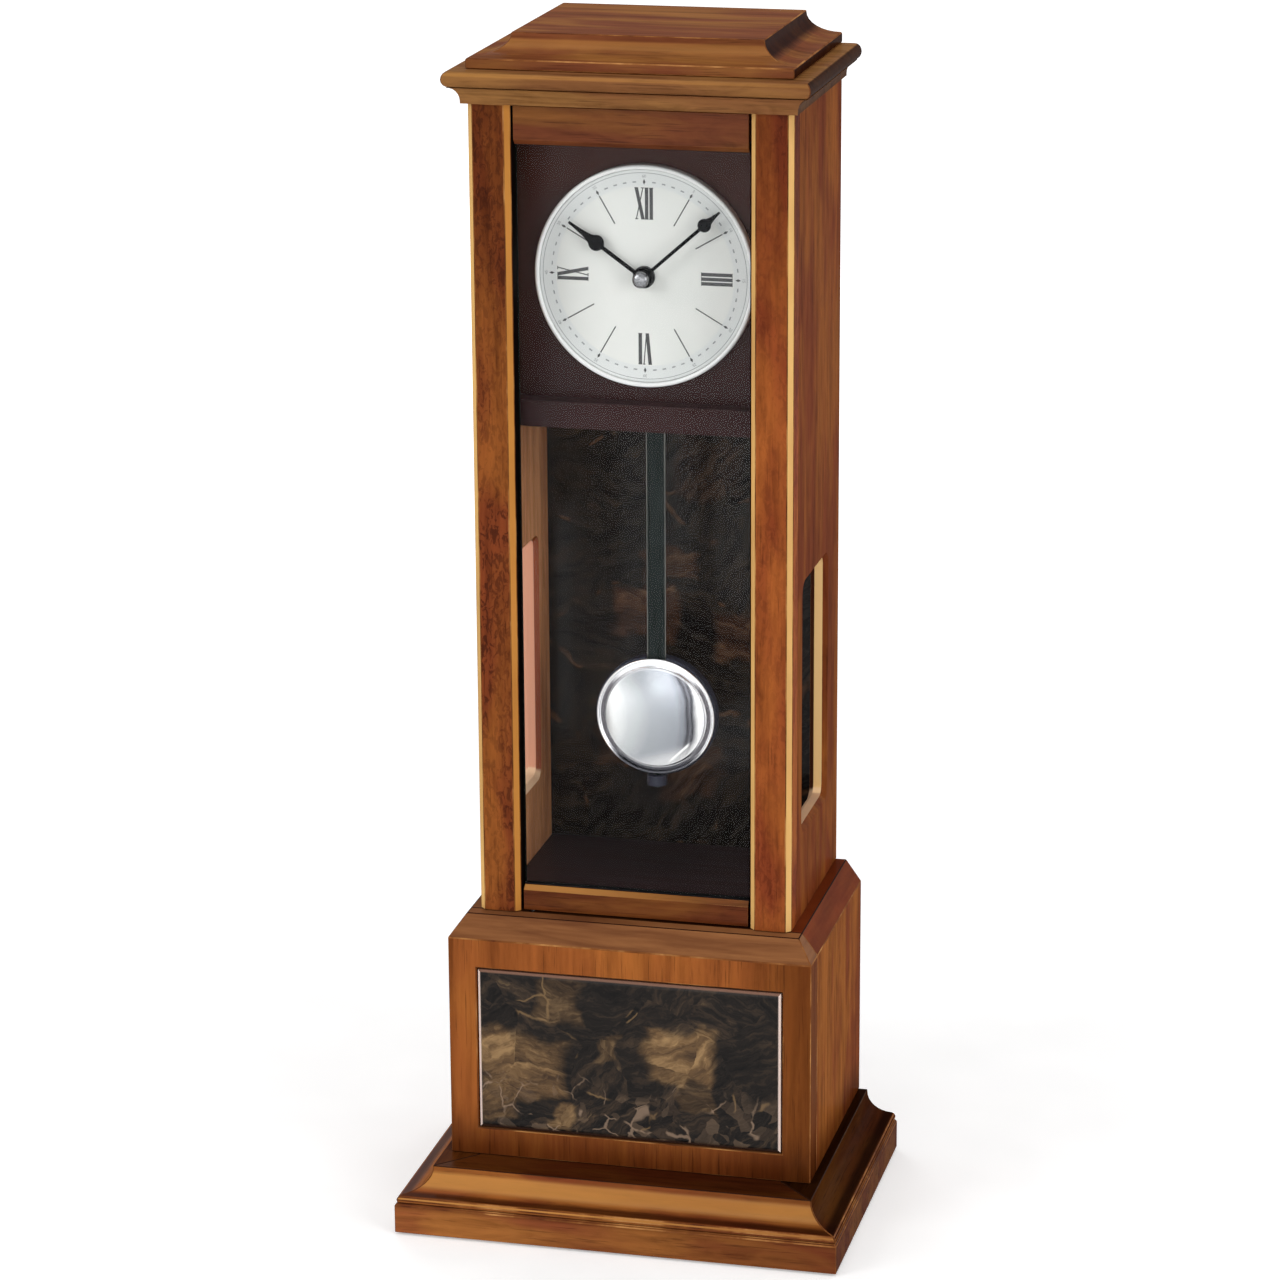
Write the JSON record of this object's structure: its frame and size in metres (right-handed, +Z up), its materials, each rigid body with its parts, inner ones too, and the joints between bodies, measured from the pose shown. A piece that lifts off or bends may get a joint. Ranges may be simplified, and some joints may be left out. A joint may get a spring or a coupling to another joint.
{
  "type": "standing clock",
  "caption": "Wooden standing clock with a round dial above an open pendulum chamber, a glazed front door, side windows and a stepped base with an inlaid plate.",
  "frame": {"origin": "middle of the base's underside, on the surface that the clock stands on", "axes": "+X to the right seen from the front, +Y to the back, +Z up"},
  "size_m": [0.189, 0.137, 0.5],
  "materials": {
    "walnut": "satin lacquer over walnut stain",
    "dark_board": "dark stained board",
    "pearl_board": "gloss, near black with pearl-like patches",
    "felt": "soft felt",
    "steel": "plated",
    "clear_glass": "clear, polished",
    "black_plastic": "matte",
    "burgundy_plastic": "fine satin grain",
    "white_rim": "gloss white",
    "dial_paper": "matte printed dial on card",
    "black_metal": "black enamel",
    "chrome": "polished",
    "brass": "machined",
    "battery_sleeve": "plain coloured sleeve",
    "copper_coil": "enamelled winding"
  },
  "bodies": {
    "case": {"base_felt": "felt", "plinth_board": "walnut", "base_moulding_front": "walnut", "base_moulding_left": "walnut", "base_moulding_right": "walnut", "base_front_board": "walnut", "base_side_left": "walnut", "base_side_right": "walnut", "base_back_board": "dark_board", "base_top_board": "dark_board", "inlay_plate": "pearl_board", "post_left": "walnut", "post_right": "walnut", "case_side_left": "walnut", "case_side_right": "walnut", "back_panel": "dark_board", "rear_lining": "pearl_board", "chamber_floor": "dark_board", "case_top_board": "dark_board", "frieze_board": "walnut", "cornice_board": "walnut", "lid_board": "walnut", "back_screw_bottom_left": "steel", "back_screw_top_left": "steel", "back_screw_bottom_right": "steel", "back_screw_top_right": "steel", "door_pivot_top": "steel", "door_pivot_bottom": "steel", "door_magnet": "black_plastic", "dial_housing": "burgundy_plastic", "dial_rim": "white_rim", "dial_plate": "dial_paper", "bush_nut": "black_metal", "movement_front": "black_plastic", "movement_body": "black_plastic", "battery_lower": "battery_sleeve", "battery_upper": "battery_sleeve", "chime_speaker": "black_plastic", "pendulum_bracket": "black_plastic", "drive_coil": "copper_coil"},
    "door": {"door_top_rail": "walnut", "door_bottom_rail": "walnut", "door_glass": "clear_glass", "glass_seal_top": "black_plastic", "glass_seal_bottom": "black_plastic", "door_strike_plate": "steel"},
    "minute_hand": {"minute_hand": "black_metal", "minute_wheel": "brass", "hand_cap_nut": "chrome"},
    "hour_hand": {"hour_hand": "black_metal", "hour_wheel": "brass"},
    "motion_wheel": {"motion_wheel": "brass"},
    "setting_knob": {"setting_knob": "black_plastic"},
    "battery_cover": {"battery_cover": "black_plastic"},
    "chime_switch": {"chime_switch": "black_plastic"},
    "pendulum": {"pendulum_hanger": "black_plastic", "pendulum_rod": "black_metal"},
    "bob": {"bob_body": "black_plastic", "bob_face": "chrome"},
    "rating_nut": {"rating_nut": "black_plastic"}
  },
  "joints": [
    {"name": "door_hinge", "type": "hinge", "parent": "case", "child": "door", "pos_m": [-0.0447, -0.0234, 0.303], "axis": [0, 0, 1], "range_deg": [-115, 0]},
    {"name": "minute_hand_turn", "type": "hinge", "parent": "case", "child": "minute_hand", "pos_m": [0, 0, 0.401], "axis": [0, 1, 0], "continuous": true},
    {"name": "hour_hand_turn", "type": "hinge", "parent": "case", "child": "hour_hand", "pos_m": [0, 0, 0.401], "axis": [0, 1, 0], "continuous": true},
    {"name": "motion_wheel_turn", "type": "hinge", "parent": "case", "child": "motion_wheel", "pos_m": [0.012, 0.008, 0.401], "axis": [0, 1, 0], "continuous": true},
    {"name": "setting_knob_turn", "type": "hinge", "parent": "case", "child": "setting_knob", "pos_m": [0.02677, 0.03, 0.3984], "axis": [0, 1, 0], "continuous": true},
    {"name": "battery_cover_hinge", "type": "hinge", "parent": "case", "child": "battery_cover", "pos_m": [0, 0.0296, 0.41525], "axis": [1, 0, 0], "range_deg": [-90, 0]},
    {"name": "chime_switch_slide", "type": "slide", "parent": "case", "child": "chime_switch", "axis": [0, 0, 1], "range_m": [-0.003, 0.003]},
    {"name": "pendulum_swing", "type": "hinge", "parent": "case", "child": "pendulum", "pos_m": [0, 0.0145, 0.372], "axis": [0, 1, 0], "range_deg": [-9, 9]},
    {"name": "bob_height", "type": "slide", "parent": "pendulum", "child": "bob", "axis": [0, 0, 1], "range_m": [-0.0012, 0.0012]},
    {"name": "rating_nut_turn", "type": "hinge", "parent": "bob", "child": "rating_nut", "pos_m": [0, 0.0149, 0.182], "axis": [0, 0, 1], "range_deg": [-1170, 1170]}
  ],
  "couplings": [
    {"joint": "hour_hand_turn", "follows": "minute_hand_turn", "ratio": 0.083333},
    {"joint": "motion_wheel_turn", "follows": "minute_hand_turn", "ratio": -0.33333},
    {"joint": "setting_knob_turn", "follows": "minute_hand_turn", "ratio": 0.5},
    {"joint": "rating_nut_turn", "follows": "bob_height", "rad_per_m": 15708}
  ]
}
